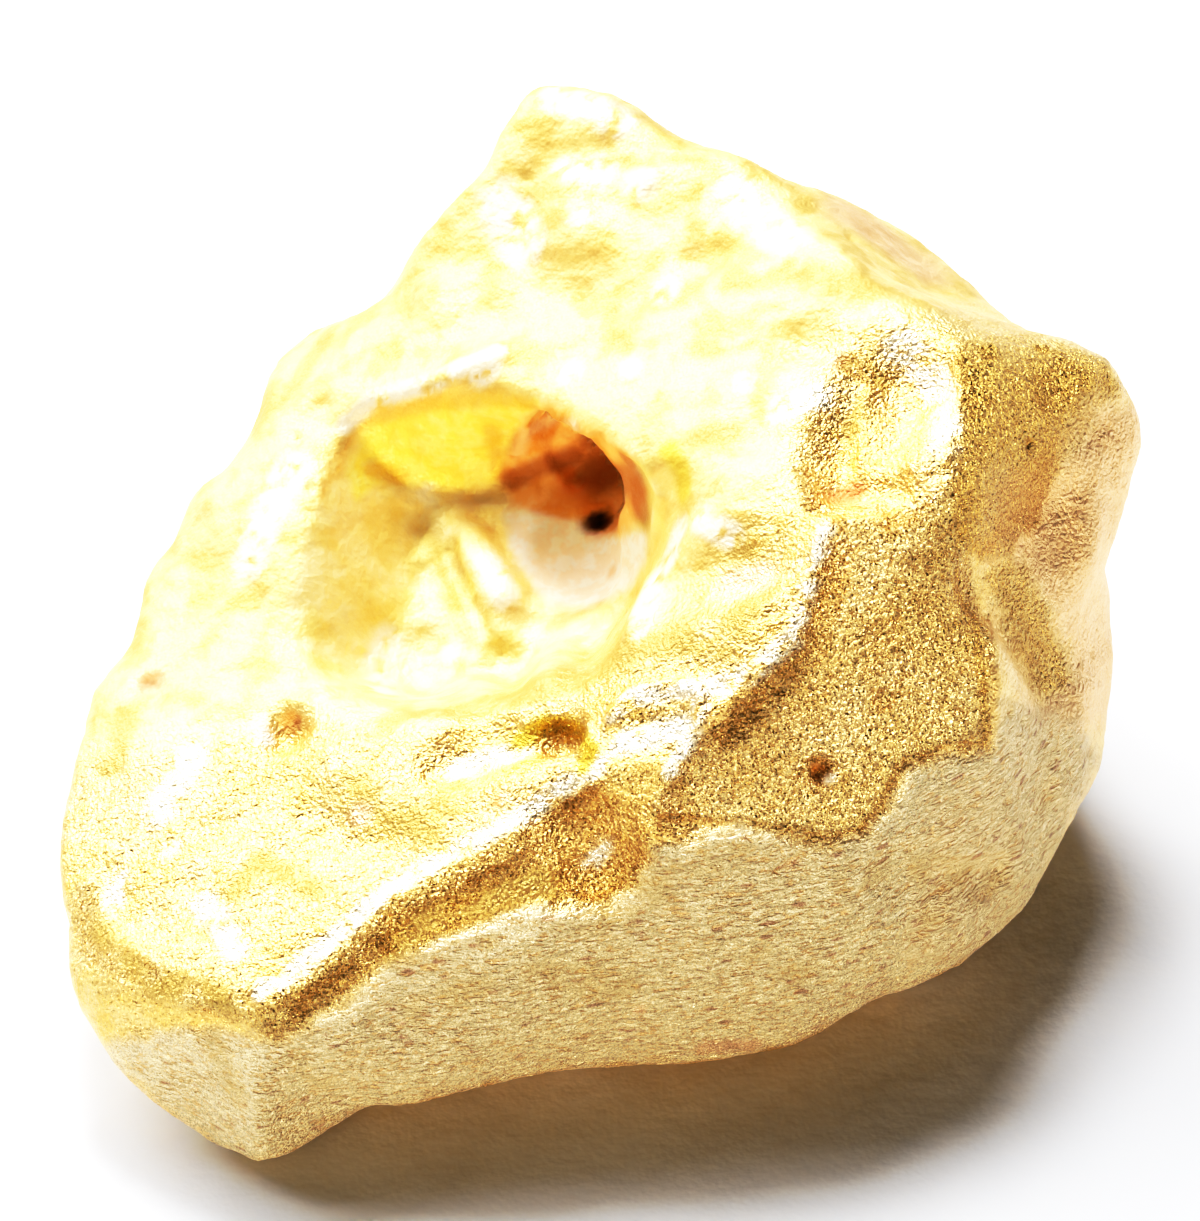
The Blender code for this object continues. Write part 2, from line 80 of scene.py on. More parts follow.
# Raised and sunk details: the path in pixels, its radius and height in millimetres, and the share of the
# radius that is level.
DETAILS = {
    "low_crest": ([(262, 1005), (300, 985), (350, 940), (400, 892), (450, 868), (520, 828)], 0.30, 0.09, 0.0),
    "scoop_crest": ([(520, 828), (560, 800), (600, 778)], 0.25, 0.08, 0.0),
    "facet_crest": (
        [(700, 728), (740, 690), (790, 640), (805, 600), (815, 560), (825, 525)], 0.30, 0.14, 0.0,
    ),
    "band_under_crest": ([(300, 1012), (362, 965), (412, 920), (462, 895), (530, 858)], 0.30, -0.08, 0.1),
    "facet_under_crest": ([(728, 738), (768, 700), (815, 655), (830, 600), (845, 550)], 0.34, -0.09, 0.1),
    "band_foot": ([(400, 955), (450, 938), (520, 915), (600, 912)], 0.40, 0.07, 0.1),
    "fold": ([(612, 718), (628, 695), (665, 684), (700, 690)], 0.26, 0.14, 0.1),
    "fold_hollow": ([(640, 722), (672, 720)], 0.28, -0.05, 0.1),
    "fold_tail": ([(704, 698), (692, 740), (676, 775)], 0.22, 0.12, 0.0),
    "scoop_right_ridge": ([(662, 772), (656, 810), (648, 848)], 0.26, 0.10, 0.0),
    "scoop_floor": ([(575, 820), (598, 845)], 0.42, -0.03, 0.2),
    "scoop_lip": ([(562, 892), (592, 905), (622, 890)], 0.24, 0.08, 0.0),
    "pit_lip": ([(350, 425), (372, 402), (430, 385), (500, 350)], 0.45, 0.06, 0.1),
    "pit_rim_right": ([(612, 440), (645, 465), (660, 495), (655, 535)], 0.26, 0.10, 0.0),
    "pit_bevel": ([(672, 535), (650, 580), (632, 628)], 0.34, 0.07, 0.2),
    "pit_wedge": ([(470, 540), (505, 595)], 0.62, 0.20, 0.3),
    "pit_valley": ([(448, 545), (470, 600), (500, 655)], 0.24, -0.14, 0.0),
    "pit_wall_bump": ([(425, 500)], 0.35, 0.10, 0.1),
    "floor_dent": ([(430, 640)], 0.5, -0.12, 0.1),
    "floor_swell": ([(470, 665)], 0.35, 0.10, 0.1),
    "brown_arc": ([(515, 450), (530, 425), (562, 414), (590, 432)], 0.20, 0.14, 0.0),
    "brown_hollow": ([(555, 450), (575, 480)], 0.30, -0.16, 0.1),
    "brown_hole": ([(602, 520)], 0.32, -0.45, 0.2),
    "small_hole_rim": ([(262, 722), (268, 740), (285, 747)], 0.16, 0.08, 0.0),
    "trough_rim": ([(525, 724), (560, 716), (592, 732), (600, 758)], 0.20, 0.07, 0.0),
    "trough_end": ([(470, 735), (510, 730)], 0.35, -0.05, 0.2),
    "facet_hole": ([(820, 773)], 0.26, -0.22, 0.2),
    "facet_dent": ([(885, 700)], 0.35, -0.10, 0.0),
    "facet_ridge": ([(985, 600), (990, 660), (992, 735)], 0.28, 0.10, 0.0),
    "facet_foot": ([(665, 822), (740, 826), (830, 842), (868, 832)], 0.22, -0.07, 0.0),
    "facet_corner": ([(868, 830), (890, 800), (905, 766), (950, 752), (988, 748)], 0.24, -0.07, 0.0),
    "dish_wall": ([(955, 345), (962, 400), (952, 460)], 0.30, 0.10, 0.0),
    "dish_inner_ridge": ([(872, 385), (862, 420), (862, 465)], 0.24, 0.10, 0.0),
    "dish_overhang": ([(845, 362), (872, 382)], 0.24, -0.12, 0.0),
    "dish_rim": ([(815, 520), (862, 524), (920, 502), (952, 482)], 0.24, 0.09, 0.0),
    "dish_deep": ([(835, 495), (900, 485)], 0.40, -0.10, 0.1),
    "dimple": ([(745, 385)], 0.30, -0.10, 0.1),
    "knob": ([(992, 348)], 0.34, 0.12, 0.1),
    "side_lobe": ([(1075, 470), (1080, 560)], 1.1, 0.26, 0.0),
    "side_step": ([(1010, 640), (1030, 690)], 0.7, 0.10, 0.0),
    "side_hollow": ([(985, 590), (1010, 640)], 0.4, -0.06, 0.1),
    "valley_end": ([(1042, 688), (1050, 712), (1080, 708)], 0.9, 0.36, 0.0),
    "front_rib": ([(700, 915), (712, 965)], 0.35, 0.05, 0.0),
    "front_ridge": ([(880, 868), (950, 852), (1015, 848)], 0.40, 0.07, 0.0),
    "front_hollow": ([(900, 900), (985, 880)], 0.60, -0.07, 0.0),
    "front_crack": ([(775, 872), (800, 858)], 0.10, -0.10, 0.0),
    "orange_pit": ([(640, 1010)], 0.28, -0.08, 0.1),
    "peak_lump": ([(590, 120)], 0.9, 0.10, 0.1),
    "peak_groove": ([(545, 145), (600, 145), (650, 142)], 0.9, 0.18, 0.1),
    "peak_left_lump": ([(580, 172)], 0.4, 0.06, 0.1),
    "peak_mid_lump": ([(582, 214)], 0.35, 0.06, 0.1),
    "peak_right_lump": ([(648, 176)], 0.45, 0.06, 0.1),
    "upper_hollow": ([(700, 245)], 0.8, 0.16, 0.0),
    "upper_left_fill": ([(565, 250), (590, 245)], 1.1, 0.22, 0.0),
    "upper_swell": ([(620, 290)], 0.6, 0.10, 0.1),
    "upper_left_swell": ([(500, 292)], 0.55, 0.10, 0.1),
    "left_swell": ([(425, 290)], 0.5, 0.10, 0.1),
    "left_red_pit": ([(150, 685)], 0.35, -0.14, 0.1),
    "left_dimple": ([(295, 440)], 0.28, -0.10, 0.1),
    "low_left_edge": ([(85, 880), (100, 920), (150, 980)], 0.35, 0.06, 0.0),
}

# Places worn smooth: the path in pixels, its radius in millimetres and the rounds of smoothing.
SOFTENED_PLACES = [
    ([(1010, 560), (1045, 630), (1075, 690)], 2.2, 120),
    ([(560, 255), (600, 262)], 1.4, 90),
    ([(545, 142), (615, 142)], 1.0, 60),
    ([(402, 545), (440, 512)], 0.9, 80),
]

# Areas of the surface: the width of the soft edge in millimetres, how ragged it is from 0 to 1, and the
# outline in pixels.
AREAS = {
    "facet": (0.2, 1.0, [
        (830, 520), (865, 524), (922, 503), (952, 478), (972, 500), (962, 545), (974, 590), (984, 640),
        (990, 700), (992, 746), (950, 752), (905, 767), (890, 800), (870, 834), (830, 844), (740, 824),
        (662, 824), (650, 800), (664, 772), (700, 742), (738, 698), (788, 652), (806, 600), (816, 555),
    ]),
    "band": (0.2, 1.0, [
        (248, 1012), (300, 986), (350, 942), (400, 894), (450, 872), (520, 830), (565, 800), (600, 780),
        (640, 764), (664, 762), (656, 800), (648, 850), (640, 885), (600, 906), (560, 892), (520, 905),
        (450, 935), (380, 966), (330, 1010), (282, 1040), (252, 1032),
    ]),
    "knob": (0.2, 1.0, [
        (958, 346), (1000, 334), (1060, 344), (1100, 356), (1122, 385), (1104, 418), (1084, 440), (1058, 470),
        (1040, 520), (1000, 560), (965, 560), (950, 500), (966, 440), (960, 400),
    ]),
    "dish": (0.2, 1.0, [
        (830, 340), (930, 335), (960, 400), (950, 470), (870, 525), (815, 518), (790, 440), (800, 390),
    ]),
    "scoop": (0.25, 0.5, [
        (590, 795), (640, 780), (662, 778), (655, 815), (646, 850), (625, 885), (595, 898), (562, 880),
        (552, 850), (568, 820),
    ]),
    "pit": (0.25, 0.5, [
        (340, 470), (355, 430), (375, 410), (430, 403), (470, 388), (520, 392), (560, 405), (590, 425),
        (620, 445), (648, 465), (660, 495), (656, 540), (645, 570), (630, 600), (605, 640), (560, 665),
        (510, 685), (460, 700), (410, 712), (370, 718), (330, 700), (300, 670), (288, 640), (288, 600),
        (298, 570), (305, 540), (318, 505),
    ]),
    # The pit's far wall, painted a bright yellow for the light thrown about inside the pit.
    "pit_yellow_bounce_light": (0.25, 0.5, [
        (346, 478), (362, 425), (430, 405), (480, 392), (540, 402), (520, 440), (500, 480), (440, 490),
        (385, 482), (355, 500),
    ]),
    "brown": (0.25, 0.5, [
        (508, 450), (520, 422), (550, 405), (580, 412), (608, 430), (634, 460), (645, 490), (642, 518),
        (622, 536), (598, 536), (585, 520), (550, 516), (512, 506), (500, 480),
    ]),
    "pink": (0.25, 0.5, [
        (505, 512), (540, 508), (585, 520), (620, 535), (645, 530), (645, 560), (625, 590), (585, 608),
        (550, 604), (525, 575), (510, 545),
    ]),
    "front": (0.4, 1.0, [
        (655, 850), (740, 828), (830, 846), (872, 836), (892, 802), (910, 768), (990, 750), (1010, 700),
        (1075, 720), (1100, 760), (1020, 935), (880, 1010), (740, 1060), (540, 1075), (400, 1105),
        (300, 1175), (230, 1165), (100, 1050), (170, 1030), (250, 1035), (285, 1042), (335, 1012),
        (385, 968), (450, 938), (520, 908), (600, 910), (640, 890),
    ]),
    # Painted reflection: the right side is made paler, as the white paper it faces makes it look.
    "pale_side": (0.8, 1.0, [
        (1085, 400), (1150, 400), (1150, 900), (1000, 960), (900, 960), (930, 800), (1000, 755), (1000, 560),
        (1040, 530), (1070, 440),
    ]),
    "beige": (0.8, 1.0, [
        (985, 470), (1050, 470), (1100, 400), (1150, 400), (1150, 700), (1100, 730), (1040, 720),
        (1000, 640), (985, 560),
    ]),
    "valley": (0.4, 1.0, [
        (988, 575), (1012, 548), (1042, 590), (1064, 640), (1074, 690), (1040, 700), (1012, 660),
    ]),
    "soft": (2.0, 0.5, [
        (0, 760), (200, 735), (300, 712), (420, 725), (500, 700), (600, 655), (680, 610), (740, 540),
        (785, 470), (790, 390), (830, 330), (960, 315), (1200, 330), (1200, 0), (0, 0),
    ]),
}

# Stains, with some painted shade among them (amber, umber and the hole's shade): the path in pixels and the
# radius in millimetres.
STAINS = {
    "pink": [
        ([(258, 722), (266, 738)], 0.26),
        ([(828, 778)], 0.20),
    ],
    "yellow": [
        ([(520, 742), (545, 724), (575, 728), (592, 750), (582, 768)], 0.30),
        ([(668, 448), (682, 470), (684, 492)], 0.34),
    ],
    # Mostly painted shade under the pit's upper rim and on its far wall.
    "amber_and_shade": [
        ([(362, 420), (420, 404), (500, 398), (530, 404)], 0.34),
        ([(372, 470), (400, 476)], 0.30),
        ([(492, 430), (500, 470)], 0.30),
        ([(548, 730), (580, 738)], 0.20),
    ],
    "peach": [
        ([(518, 454), (528, 432), (550, 420), (574, 427)], 0.24),
        ([(360, 815)], 0.42),
        ([(735, 585), (762, 578)], 0.60),
        ([(800, 372), (825, 360)], 0.55),
        ([(505, 795)], 0.20),
        ([(130, 690), (160, 680)], 0.45),
        ([(705, 1047), (752, 1045)], 0.36),
        ([(640, 1010)], 0.20),
        ([(1070, 688)], 0.20),
        ([(787, 866), (797, 860)], 0.12),
        ([(612, 572)], 0.26),
        ([(850, 215), (920, 265)], 1.0),
    ],
    "brown": [
        ([(292, 722)], 0.34),
        ([(815, 768)], 0.20),
        ([(150, 685)], 0.28),
    ],
    # Partly dark brown in the hollows, partly painted shade over the lit inner wall at the brown pocket's
    # right.
    "umber_and_shade": [
        ([(600, 470), (635, 480), (640, 505)], 0.75),
        ([(512, 480), (540, 466), (575, 456)], 0.34),
        ([(590, 440)], 0.36),
        ([(626, 458), (638, 485), (638, 510)], 0.34),
        ([(298, 722)], 0.16),
    ],
    "red": [
        ([(838, 500), (856, 492)], 0.36),
        ([(497, 802)], 0.14),
    ],
    # Painted shade: the black inside the hole in the brown pocket.
    "hole_shade": [
        ([(600, 520), (590, 524)], 0.34),
    ],
}
# Edges and lumps that are worn bright, and painted highlights among them: the bright lines along the crest
# and the pit's rim, and bright spots on the top, in the scoop and in the pit.
WORN_AND_HIGHLIGHT_PLACES = [
    ([(262, 992), (300, 968), (350, 925), (400, 882), (450, 855), (520, 818), (560, 790), (600, 764)], 0.30),
    ([(610, 712), (632, 694), (680, 686), (720, 688), (760, 668), (795, 640)], 0.34),
    ([(795, 640), (808, 600), (818, 560), (826, 532)], 0.26),
    ([(700, 700), (690, 740), (672, 770)], 0.28),
    ([(610, 745), (650, 735), (680, 728)], 0.40),
    ([(460, 770), (520, 755)], 0.40),
    ([(345, 425), (372, 400), (430, 384), (495, 352)], 0.30),
    ([(680, 532), (655, 580), (636, 625)], 0.45),
    ([(500, 205), (525, 245)], 0.75),
    ([(577, 213)], 0.40),
    ([(565, 170), (600, 172)], 0.45),
    ([(640, 182)], 0.55),
    ([(735, 195), (790, 240)], 0.60),
    ([(665, 290)], 0.45),
    ([(560, 95), (620, 120)], 0.60),
    ([(490, 368), (480, 376)], 0.35),
    ([(570, 372)], 0.40),
    ([(630, 368)], 0.35),
    ([(745, 383)], 0.35),
    ([(780, 410), (820, 395)], 0.45),
    ([(900, 345), (940, 390), (945, 440)], 0.50),
    ([(700, 520), (730, 535)], 0.40),
    ([(118, 875), (112, 905)], 0.30),
    ([(190, 760), (160, 810)], 0.50),
    ([(290, 470), (250, 560)], 0.60),
    ([(205, 905), (222, 925), (235, 950)], 0.38),
    ([(170, 850)], 0.30),
    ([(590, 862), (604, 846)], 0.30),
    ([(385, 640), (380, 690)], 0.50),
    ([(490, 560), (505, 595)], 0.42),
    ([(428, 495)], 0.36),
    ([(455, 650)], 0.40),
]
# Darker golden brown patches, and faint ones on the front. Some of them are painted shade: the foot of the
# band under the crest, the valley in the pit, and a shaded facet at the front's right.
TAN_AND_SHADE_PATCHES = [
    ([(390, 945), (440, 918), (490, 900), (545, 884)], 0.46),
    ([(450, 545), (468, 590), (495, 625)], 0.24),
    ([(500, 610), (560, 620), (600, 600)], 0.40),
    ([(375, 728), (480, 702), (560, 674), (630, 642), (720, 645)], 0.50),
    ([(730, 540), (765, 590), (735, 625)], 0.60),
    ([(345, 790), (430, 830), (470, 780)], 0.65),
    ([(110, 765), (135, 700)], 0.50),
    ([(100, 930), (160, 985), (240, 1000)], 0.45),
    ([(210, 930), (260, 860), (330, 900)], 0.40),
    ([(660, 300), (780, 270), (870, 290)], 0.55),
    ([(548, 165), (552, 200), (562, 230)], 0.36),
    ([(540, 160), (575, 166), (640, 160), (700, 160)], 0.24),
    ([(690, 200), (700, 250), (735, 240)], 0.36),
    ([(580, 300), (610, 310), (625, 345)], 0.36),
    ([(515, 310)], 0.40),
    ([(415, 278), (440, 290)], 0.34),
    ([(700, 350), (790, 330)], 0.45),
    ([(690, 440), (735, 430)], 0.40),
    ([(330, 330), (290, 400)], 0.40),
    ([(505, 745), (560, 728), (590, 760)], 0.30),
    ([(520, 700), (620, 660), (700, 620)], 0.45),
    ([(845, 365), (880, 385), (850, 430)], 0.34),
]
FRONT_SHADES = [
    ([(850, 880), (900, 864), (965, 876)], 0.55),
    ([(930, 915), (1000, 880)], 0.45),
    ([(590, 925), (640, 900), (700, 862), (760, 852)], 0.50),
    ([(540, 975), (620, 985)], 0.60),
    ([(420, 1010), (480, 990)], 0.50),
    ([(760, 960), (800, 975)], 0.50),
    ([(300, 1060), (330, 1085)], 0.40),
    ([(215, 1045), (240, 1100)], 0.45),
]
# Painted shade in a deeper gold: a line along the facet's right edge, where the facet overhangs, and the foot
# of the band under the crest.
DEEP_SHADE_PLACES = [
    ([(955, 575), (972, 615), (982, 670), (986, 740)], 0.20),
    ([(400, 945), (450, 918), (500, 902), (545, 890)], 0.55),
]
# Sandy places outside the sandy areas.
SANDY_PATCHES = [
    ([(80, 900), (90, 945), (150, 980), (230, 1008)], 0.50),
    ([(560, 728), (590, 755)], 0.30),
    ([(845, 362), (880, 380)], 0.26),
    ([(800, 470), (812, 505)], 0.24),
    ([(720, 420), (760, 440)], 0.40),
]
# The worn crest, which fine lines follow.
CREST = [
    (262, 1005), (300, 985), (350, 940), (400, 892), (450, 868), (520, 828), (560, 800), (610, 770),
    (690, 735), (740, 690), (790, 640), (805, 600), (815, 560), (825, 525),
]


def at(x, y):
    """A pixel of the drawing as (across, up) in millimetres."""
    return ((x - MIDDLE_PIXEL[0]) / PIXELS_PER_MM, (MIDDLE_PIXEL[1] - y) / PIXELS_PER_MM)


def smooth_step(share):
    """0 below 0, 1 above 1, and a smooth rise between."""
    share = np.clip(share, 0, 1)
    return share * share * (3 - 2 * share)


def points_of(mesh):
    points = np.empty(len(mesh.vertices) * 3, np.float32)
    mesh.vertices.foreach_get("co", points)
    return points.reshape(-1, 3).astype(float)


def normals_of(mesh):
    normals = np.empty(len(mesh.vertices) * 3, np.float32)
    mesh.vertex_normals.foreach_get("vector", normals)
    return normals.reshape(-1, 3).astype(float)


def move_points(mesh, points):
    """Gives a mesh's points new places."""
    mesh.vertices.foreach_set("co", points.astype(np.float32).ravel())
    mesh.update()


def applied_mesh(thing):
    """The mesh that an object's modifiers make, and the modifiers are taken off."""
    graph = bpy.context.evaluated_depsgraph_get()
    mesh = bpy.data.meshes.new_from_object(thing.evaluated_get(graph))
    thing.modifiers.clear()
    return mesh


def drawing_axes():
    """The drawing's directions: across, up and towards the eye."""
    towards = (EYE - DRAWING_MIDDLE).normalized()
    across = UP.cross(towards).normalized()
    return across, towards.cross(across), towards


def drawn(points):
    """Where each point lies on the drawing, as (across, up)."""
    across, up, towards = (np.array(vector) for vector in drawing_axes())
    eye = np.array(EYE)
    middle = np.array(DRAWING_MIDDLE)
    sight = points - eye
    scale = (middle - eye) @ towards / (sight @ towards)
    place = eye + sight * scale[:, None] - middle
    return np.stack([place @ across, place @ up], axis=1)


def fractal(points, span, octaves, offset):
    """Uneven noise in -1 to 1 whose swells are about span across."""
    move = Vector((offset, offset * 0.7, -offset))
    return np.array([noise.fractal(Vector(point) / span + move, 1.0, 2.0, octaves) for point in points])


class Surface:
    """The nugget's surface while it is shaped: its points, and the tree that finds marks on it."""

    def __init__(self, thing):
        self.thing = thing
        self.refresh()

    def refresh(self):
        mesh = self.thing.data
        self.points = points_of(mesh)
        self.normals = normals_of(mesh)
        self.tree = BVHTree.FromObject(self.thing, bpy.context.evaluated_depsgraph_get())
        self.shift = np.zeros_like(self.points)
        self.plan = drawn(self.points)

    def mark(self, x, y):
        """The point of the surface that shows at a pixel of the drawing."""
        across, up, _ = drawing_axes()
        right, high = at(x, y)
        sight = DRAWING_MIDDLE + across * right + up * high - EYE
        place, _, _, _ = self.tree.ray_cast(EYE, sight.normalized())
        return np.array(place)

    def path(self, pixels):
        return [self.mark(x, y) for x, y in pixels]

    def reach(self, path):
        """How far each point is from a path of one or more corners."""
        nearest = np.linalg.norm(self.points - path[0], axis=1)
        for start, end in zip(path, path[1:], strict=False):
            run = end - start
            share = np.clip((self.points - start) @ run / (run @ run), 0, 1)
            reach = np.linalg.norm(self.points - start - share[:, None] * run, axis=1)
            nearest = np.minimum(nearest, reach)
        return nearest

    def relief(self, path, radius, height, floor_share):
        """Raises the surface round a path, along the mean direction of the surface there."""
        weight = smooth_step((1 - self.reach(path) / radius) / (1 - floor_share))
        direction = (self.normals * weight[:, None]).sum(axis=0)
        length = np.linalg.norm(direction)
        if length > 0:
            self.shift += height * weight[:, None] * direction / length

    def swell(self, heights):
        """Moves every point along its own normal."""
        self.shift += heights[:, None] * self.normals

    def apply(self):
        move_points(self.thing.data, self.points + self.shift)
        self.refresh()

    def seen(self):
        """1 where a point lies on the side that the drawing shows, or just behind it."""
        shown = np.zeros(len(self.points))
        for index, point in enumerate(self.points):
            sight = Vector(point) - EYE
            distance = sight.length
            hit = self.tree.ray_cast(EYE, sight / distance)
            shown[index] = hit[3] is None or distance - hit[3] < SEEN_DEPTH
        return shown

    def area(self, pixels, softness, wobble):
        """How far each point lies inside an outline of the drawing, from 0 to 1 over the softness."""
        outline = np.array([at(x, y) for x, y in pixels])
        place = self.plan + wobble
        inside = np.zeros(len(place), bool)
        nearest = np.full(len(place), np.inf)
        for start, end in zip(outline, np.roll(outline, -1, axis=0), strict=True):
            run = end - start
            share = np.clip((place - start) @ run / (run @ run), 0, 1)
            nearest = np.minimum(nearest, np.linalg.norm(place - start - share[:, None] * run, axis=1))
            crosses = (start[1] > place[:, 1]) != (end[1] > place[:, 1])
            if run[1] != 0:
                inside ^= crosses & (place[:, 0] < start[0] + (place[:, 1] - start[1]) * run[0] / run[1])
        signed = np.where(inside, nearest, -nearest)
        return smooth_step(0.5 + signed / softness)

    def spots(self, marks):
        """Round the marks, 1 in the middle of each and 0 at its radius."""
        total = np.zeros(len(self.points))
        for pixels, radius in marks:
            total = np.maximum(total, smooth_step(1.4 * (1 - self.reach(self.path(pixels)) / radius)))
        return total


def start_surface(cad):
    """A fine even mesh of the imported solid's shape."""
    mesh = bpy.data.meshes.new_from_object(cad)
    mesh.transform(Matrix.Scale(1 / MM, 4))
    welded = bmesh.new()
    welded.from_mesh(mesh)
    bmesh.ops.remove_doubles(welded, verts=welded.verts, dist=WELD)
    welded.to_mesh(mesh)
    welded.free()
    thing = bpy.data.objects.new("nugget_surface", mesh)
    bpy.context.scene.collection.objects.link(thing)
    rounded = thing.modifiers.new("rounded", "SUBSURF")
    rounded.levels = 2
    rounded.render_levels = 2
    even = thing.modifiers.new("even_faces", "REMESH")
    even.mode = "VOXEL"
    even.voxel_size = FACE_WIDTH
    thing.data = applied_mesh(thing)
    return thing


def dents(surface, count, radii, depths, seed):
    """Shallow dents and lumps scattered over the whole surface."""
    chance = np.random.default_rng(seed)
    chosen = chance.choice(len(surface.points), count, replace=False)
    for index in chosen:
        radius = chance.uniform(*radii)
        depth = chance.uniform(*depths)
        reach = np.linalg.norm(surface.points - surface.points[index], axis=1)
        weight = smooth_step(1 - reach / radius)
        surface.shift -= depth * weight[:, None] * surface.normals[index]


def soften(surface, pixels, radius, rounds):
    """Smooths the surface round a path."""
    weight = smooth_step(1.5 * (1 - surface.reach(surface.path(pixels)) / radius))
    group = surface.thing.vertex_groups.new(name="softened")
    for share in np.unique(np.round(weight[weight > 0.05], 1)):
        group.add(np.flatnonzero(np.round(weight, 1) == share).tolist(), float(share), "REPLACE")
    smooth = surface.thing.modifiers.new("smooth", "SMOOTH")
    smooth.vertex_group = group.name
    smooth.factor = 0.5
    smooth.iterations = rounds
    surface.thing.data = applied_mesh(surface.thing)
    surface.thing.vertex_groups.clear()
    surface.refresh()


def shape_surface(surface):
    """Gives the surface its details, smooth places, swells and dents, and keeps it above the paper."""
    for path, radius, height, floor_share in DETAILS.values():
        surface.relief(surface.path(path), radius, height, floor_share)
    surface.apply()
    for pixels, radius, rounds in SOFTENED_PLACES:
        soften(surface, pixels, radius, rounds)
    for height, width, offset in SWELLS:
        surface.swell(height * fractal(surface.points, width, 3, offset))
    for number, (count, radii, depths) in enumerate(DENTS):
        dents(surface, count, radii, depths, SEED + number)
    surface.apply()
    points = surface.points
    points[:, 2] = np.maximum(points[:, 2], 0.0)
    move_points(surface.thing.data, points)
    surface.refresh()


def marked_areas(surface, seen):
    """How far each point belongs to each area, from 0 to 1."""
    bends = [fractal(surface.points, RAGGED_WIDTH, 3, offset) for offset in RAGGED_OFFSETS]
    ragged = np.stack(bends, axis=1) * RAGGED_REACH
    areas = {}
    for name, (softness, raggedness, outline) in AREAS.items():
        areas[name] = surface.area(outline, softness, ragged * raggedness) * seen
    return areas


def marked_stains(surface, areas, rough, hidden):
    """How stained each point is, and how much painted shade it has. The hidden side has stains like those
    that show.
    """
    points = surface.points
    stains = {name: surface.spots(marks) for name, marks in STAINS.items()}
    hidden_brown = smooth_step(3 * fractal(points, 1.1, 2, 80.0) - 1.2) * hidden
    hidden_pink = smooth_step(3 * fractal(points, 1.4, 2, 90.0) - 1.3) * hidden
    stains["brown"] = np.maximum.reduce([areas["brown"], stains["brown"], hidden_brown])
    stains["pink"] = np.maximum.reduce([areas["pink"], stains["pink"], hidden_pink])
    beige = 0.75 * areas["beige"] * (1 - rough) * (1 - areas["valley"])
    stains["peach"] = np.maximum(stains["peach"], beige)
    uneven = smooth_step(0.8 + 1.4 * fractal(points, 0.7, 3, 100.0))
    hidden_tan = 0.6 * smooth_step(2 * fractal(points, 2.2, 3, 110.0) + 0.5) * hidden
    # Tan patches, some of them painted shade, and fainter ones on the front.
    tan = np.maximum(surface.spots(TAN_AND_SHADE_PATCHES), 0.40 * surface.spots(FRONT_SHADES))
    stains["tan"] = np.maximum(tan * uneven * (1 - 0.3 * areas["soft"]), hidden_tan)
    return stains


def mark_surface(surface):
    """Keeps, for the material, how far each point belongs to each area and stain, and to each place of
    painted light and shade.
    """
    points = surface.points
    seen = surface.seen()
    hidden = 1 - seen
    areas = marked_areas(surface, seen)
    sandy = areas["facet"] + areas["band"] + 0.6 * areas["knob"]
    sandy += 0.15 * areas["dish"] + 0.6 * areas["valley"]
    sandy = np.clip(sandy, 0, 1) * (1 - 0.6 * areas["scoop"])
    hidden_sandy = smooth_step(1.5 * fractal(points, 3.2, 2, 60.0) + 0.1) * hidden
    rough = np.clip(sandy + hidden_sandy + surface.spots(SANDY_PATCHES), 0, 1)
    from_crest = surface.reach(surface.path(CREST))
    lined = smooth_step(1.6 - from_crest / 2.6) * seen
    lined *= (1 - areas["front"]) * (1 - rough) * (1 - areas["pit"])
    # Deep gold: partly the facet's own mottled tone, partly painted shade and dark reflections on the knob,
    # the valley, the band, the facet's right edge and the band's foot.
    mottled = 0.45 * smooth_step(0.5 + 1.3 * fractal(points, 1.5, 2, 130.0)) * areas["facet"]
    deep_gold_and_shade = areas["knob"] + 0.7 * areas["valley"] + 0.5 * areas["band"] + mottled
    deep_gold_and_shade += surface.spots(DEEP_SHADE_PLACES)
    # Partly rubbed bright wear, partly painted highlights.
    worn = surface.spots(WORN_AND_HIGHLIGHT_PLACES) * smooth_step(0.95 + 2.2 * fractal(points, 0.35, 3, 120.0))
    values = {
        "rough": rough,
        "soft": areas["soft"],
        "from_crest": from_crest,
        "lined": lined,
        "deep_gold_and_shade": np.clip(deep_gold_and_shade, 0, 1),
        "pit": areas["pit"],
        # Painted bounce light on the pit's far wall.
        "pit_yellow_bounce_light": areas["pit_yellow_bounce_light"] * (1 - areas["brown"]),
        "worn": worn,
        "front": np.maximum(areas["front"], 0.35 * hidden),
        "pale": areas["pale_side"] * (1 - 0.8 * areas["valley"]),
    }
    values.update(marked_stains(surface, areas, rough, hidden))
    for name, value in values.items():
        layer = surface.thing.data.attributes.new(name, "FLOAT", "POINT")
        layer.data.foreach_set("value", value.astype(np.float32))


